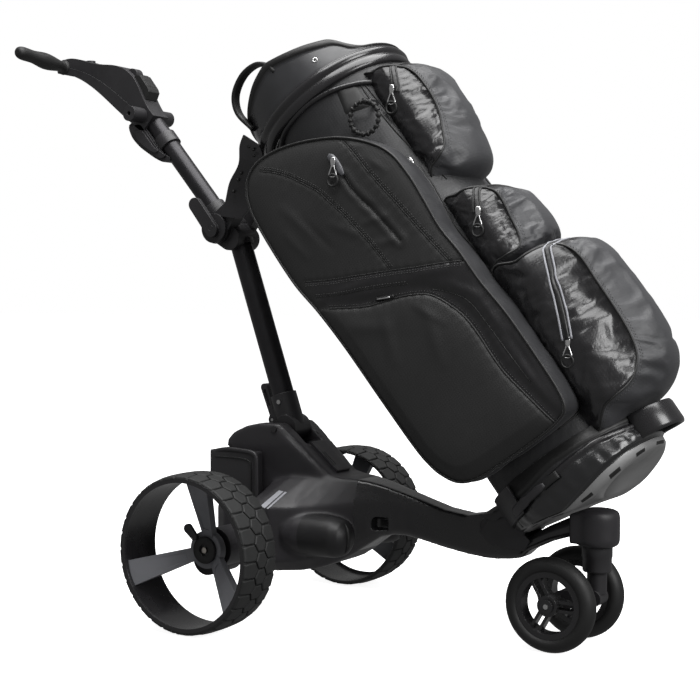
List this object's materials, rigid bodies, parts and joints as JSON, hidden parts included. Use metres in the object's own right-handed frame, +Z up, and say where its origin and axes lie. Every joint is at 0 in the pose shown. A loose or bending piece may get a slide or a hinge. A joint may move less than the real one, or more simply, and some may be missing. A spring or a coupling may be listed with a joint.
{
  "type": "electric golf trolley",
  "caption": "Electric golf trolley with folding mast and T-bar handle, drive wheels, twin-wheel front caster and a strapped-on cart bag with pockets.",
  "frame": {"origin": "middle of the overall length and width, on the ground", "axes": "+X forward to the front caster, +Y to the trolley's left, +Z up"},
  "size_m": [1.2706, 0.587, 1.037],
  "materials": {
    "satin_black": "satin",
    "gloss_black": "gloss",
    "black_metal": "satin",
    "steel": "satin",
    "tyre": "matt",
    "spoke_grey": "satin",
    "silver": "satin",
    "rubber": "matt",
    "bag_fabric": "matt",
    "pull_metal": "polished"
  },
  "bodies": {
    "chassis": {"housing_lower": "satin_black", "housing_upper": "satin_black", "cover_strip": "satin_black", "accent_strips": "silver", "motor_pods": "satin_black", "gearboxes": "satin_black", "mast_pivot_pin": "steel", "frame_arm": "satin_black", "caster_head": "satin_black", "caster_collar": "gloss_black", "lower_cradle": "satin_black", "base_straps": "rubber"},
    "battery": {"battery_case": "satin_black"},
    "rear_wheel_right": {"rear_tyre_right": "tyre", "rear_rim_right": "satin_black", "rear_spokes_right": "spoke_grey", "rear_hub_right": "gloss_black"},
    "rear_wheel_left": {"rear_tyre_left": "tyre", "rear_rim_left": "satin_black", "rear_spokes_left": "spoke_grey", "rear_hub_left": "gloss_black"},
    "latch_right": {"wheel_latch_right": "satin_black"},
    "latch_left": {"wheel_latch_left": "satin_black"},
    "caster": {"caster_fork": "satin_black", "front_axle": "steel"},
    "front_wheel_right": {"front_tyre_right": "tyre", "front_rim_right": "satin_black"},
    "front_wheel_left": {"front_tyre_left": "tyre", "front_rim_left": "satin_black"},
    "mast": {"mast_collar": "satin_black", "collar_fasteners": "steel", "lower_mast": "black_metal", "elbow_casting": "satin_black", "elbow_bolt": "steel", "upper_cradle": "satin_black", "cradle_straps": "rubber"},
    "release_lever": {"mast_release_lever": "satin_black"},
    "clamp_lever": {"cam_lever": "satin_black"},
    "handle": {"handle_knuckle": "satin_black", "upper_tube": "black_metal", "console_upper": "satin_black", "console_lower": "satin_black", "handle_grips": "rubber", "accessory_holder": "satin_black"},
    "dial": {"speed_dial": "gloss_black"},
    "button": {"power_button": "gloss_black"},
    "bag": {"bag_barrel": "bag_fabric", "bag_base": "satin_black", "bag_collar": "rubber", "bag_divider": "satin_black", "side_pockets": "bag_fabric", "upper_pocket": "bag_fabric", "mid_pocket": "bag_fabric", "lower_pocket": "bag_fabric", "bag_handle": "rubber"},
    "pull_side": {"zip_pull_side": "pull_metal"},
    "pull_upper": {"zip_pull_upper": "pull_metal"},
    "pull_mid": {"zip_pull_mid": "pull_metal"},
    "pull_lower": {"zip_pull_lower": "pull_metal"},
    "ring": {"towel_ring": "rubber"}
  },
  "joints": [
    {"name": "right_drive_wheel_spin", "type": "hinge", "parent": "chassis", "child": "rear_wheel_right", "pos_m": [-0.1093, -0.249, 0.135], "axis": [0, 1, 0], "continuous": true},
    {"name": "left_drive_wheel_spin", "type": "hinge", "parent": "chassis", "child": "rear_wheel_left", "pos_m": [-0.1093, 0.249, 0.135], "axis": [0, 1, 0], "continuous": true},
    {"name": "right_wheel_release_latch", "type": "hinge", "parent": "rear_wheel_right", "child": "latch_right", "pos_m": [-0.1273, -0.232, 0.157], "axis": [0, 1, 0], "range_deg": [0, 25], "stiffness_Nm_per_rad": 0.05},
    {"name": "left_wheel_release_latch", "type": "hinge", "parent": "rear_wheel_left", "child": "latch_left", "pos_m": [-0.1273, 0.232, 0.157], "axis": [0, 1, 0], "range_deg": [0, 25], "stiffness_Nm_per_rad": 0.05},
    {"name": "caster_swivel", "type": "hinge", "parent": "chassis", "child": "caster", "pos_m": [0.5037, 0, 0.14], "axis": [0, 0, 1], "continuous": true},
    {"name": "right_front_wheel_spin", "type": "hinge", "parent": "caster", "child": "front_wheel_right", "pos_m": [0.4497, -0.06, 0.0765], "axis": [0, 1, 0], "continuous": true},
    {"name": "left_front_wheel_spin", "type": "hinge", "parent": "caster", "child": "front_wheel_left", "pos_m": [0.4497, 0.06, 0.0765], "axis": [0, 1, 0], "continuous": true},
    {"name": "mast_fold", "type": "hinge", "parent": "chassis", "child": "mast", "pos_m": [-0.0843, 0, 0.328], "axis": [0, 1, 0], "range_deg": [0, 80]},
    {"name": "bag_lift_off", "type": "slide", "parent": "chassis", "child": "bag", "axis": [0.8039, 0, 0.5948], "range_m": [0, 0.9]},
    {"name": "handle_fold", "type": "hinge", "parent": "mast", "child": "handle", "pos_m": [-0.2253, 0, 0.688], "axis": [0, -1, 0], "range_deg": [0, 78]},
    {"name": "clamp_lever_open", "type": "hinge", "parent": "mast", "child": "clamp_lever", "pos_m": [-0.2253, -0.05, 0.688], "axis": [0, -1, 0], "range_deg": [0, 90]},
    {"name": "mast_release_lever_pull", "type": "hinge", "parent": "mast", "child": "release_lever", "pos_m": [-0.1203, 0, 0.34], "axis": [0, -1, 0], "range_deg": [0, 22], "stiffness_Nm_per_rad": 0.6},
    {"name": "speed_dial_turn", "type": "hinge", "parent": "handle", "child": "dial", "pos_m": [-0.4523, 0, 0.988], "axis": [0, 1, 0], "range_deg": [-140, 140]},
    {"name": "power_button_press", "type": "slide", "parent": "handle", "child": "button", "axis": [0, 0, -1], "range_m": [0, 0.0015], "stiffness_N_per_m": 300},
    {"name": "battery_slide_out", "type": "slide", "parent": "chassis", "child": "battery", "axis": [-1, 0, 0], "range_m": [0, 0.12]},
    {"name": "zip_pull_side_swing", "type": "hinge", "parent": "bag", "child": "pull_side", "pos_m": [0.1054, -0.164, 0.7822], "axis": [-1, 0, 0], "range_deg": [0, 70]},
    {"name": "zip_pull_upper_swing", "type": "hinge", "parent": "bag", "child": "pull_upper", "pos_m": [0.17498, -0.094, 0.90336], "axis": [-1, 0, 0], "range_deg": [0, 70]},
    {"name": "zip_pull_mid_swing", "type": "hinge", "parent": "bag", "child": "pull_mid", "pos_m": [0.33666, -0.098, 0.69831], "axis": [-1, 0, 0], "range_deg": [0, 70]},
    {"name": "zip_pull_lower_swing", "type": "hinge", "parent": "bag", "child": "pull_lower", "pos_m": [0.49635, -0.109, 0.49427], "axis": [-1, 0, 0], "range_deg": [0, 70]},
    {"name": "towel_ring_swing", "type": "hinge", "parent": "bag", "child": "ring", "pos_m": [0.14485, -0.127, 0.88355], "axis": [-1, 0, 0], "range_deg": [0, 70]}
  ],
  "couplings": [
    {"joint": "bag_lift_off", "follows": "mast_fold", "m_per_rad": 0.64}
  ]
}
